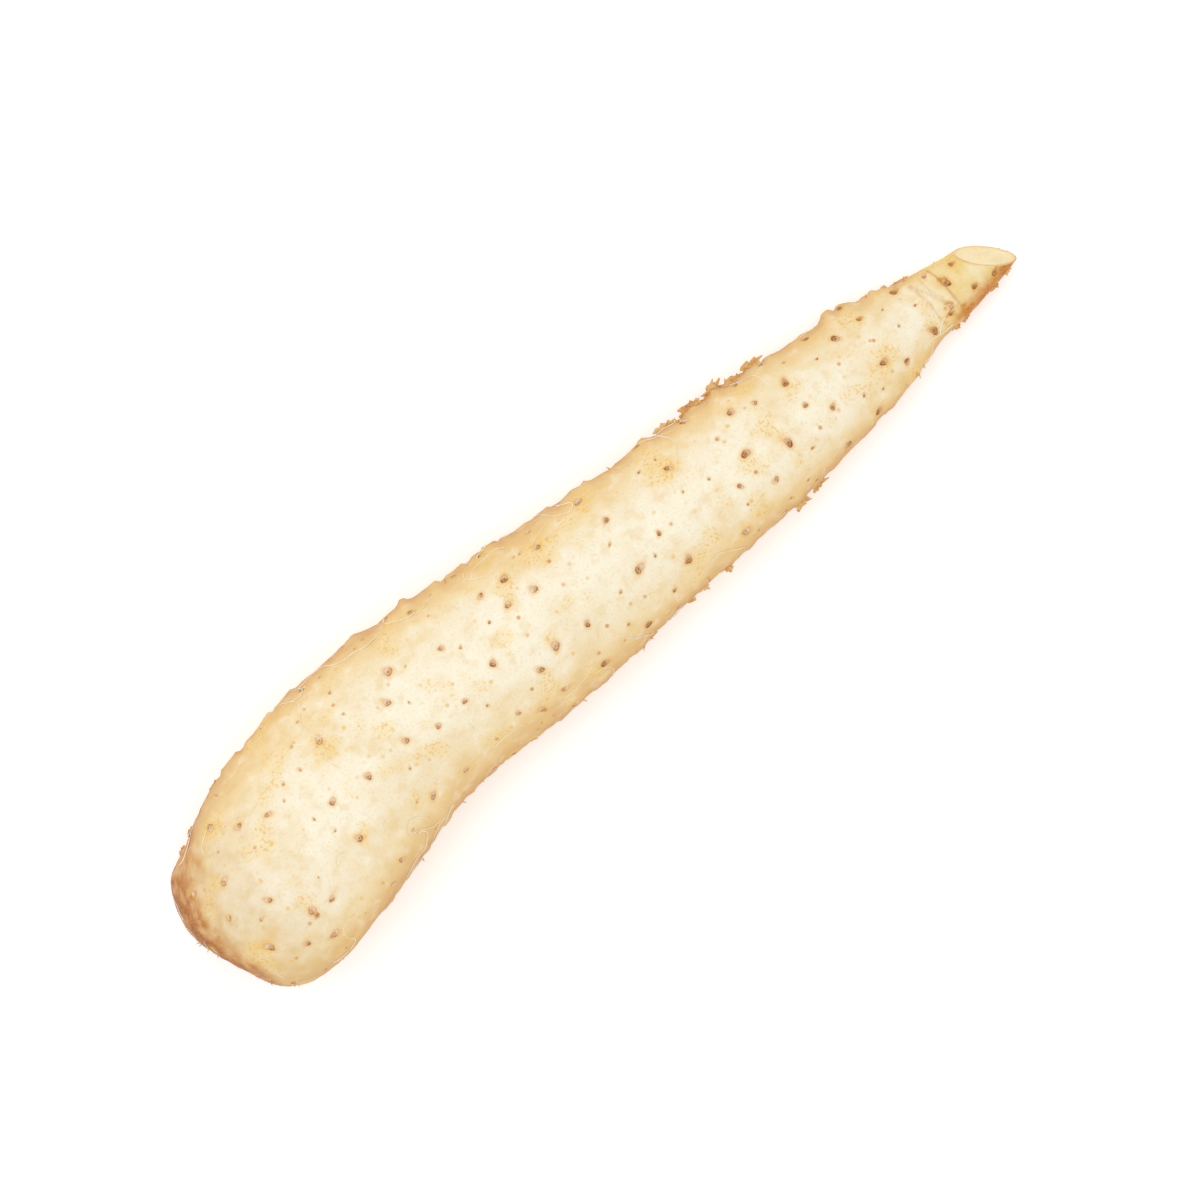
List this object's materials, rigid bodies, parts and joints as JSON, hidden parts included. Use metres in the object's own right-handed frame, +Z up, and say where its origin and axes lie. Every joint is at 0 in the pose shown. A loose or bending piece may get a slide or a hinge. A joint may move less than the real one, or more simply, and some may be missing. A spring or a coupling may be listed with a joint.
{
  "type": "japanese yam",
  "caption": "Long pale japanese yam (nagaimo) with a blunt rounded end, a tapering body with root scars and a slanting cut across its narrow neck.",
  "frame": {"origin": "on the surface that the tuber lies on, under the middle of its bounding box", "axes": "+X along the tuber, from the fat end towards the cut neck; +Z up; +Y to the side that the knife cut faces"},
  "size_m": [0.3442, 0.0762, 0.0613],
  "materials": {
    "tuber_skin": "pale cream to tan corky skin, slightly waxy, with brown root scars, orange specks and a few fine root hairs"
  },
  "bodies": {
    "root": {"tuber": "tuber_skin"}
  },
  "joints": []
}
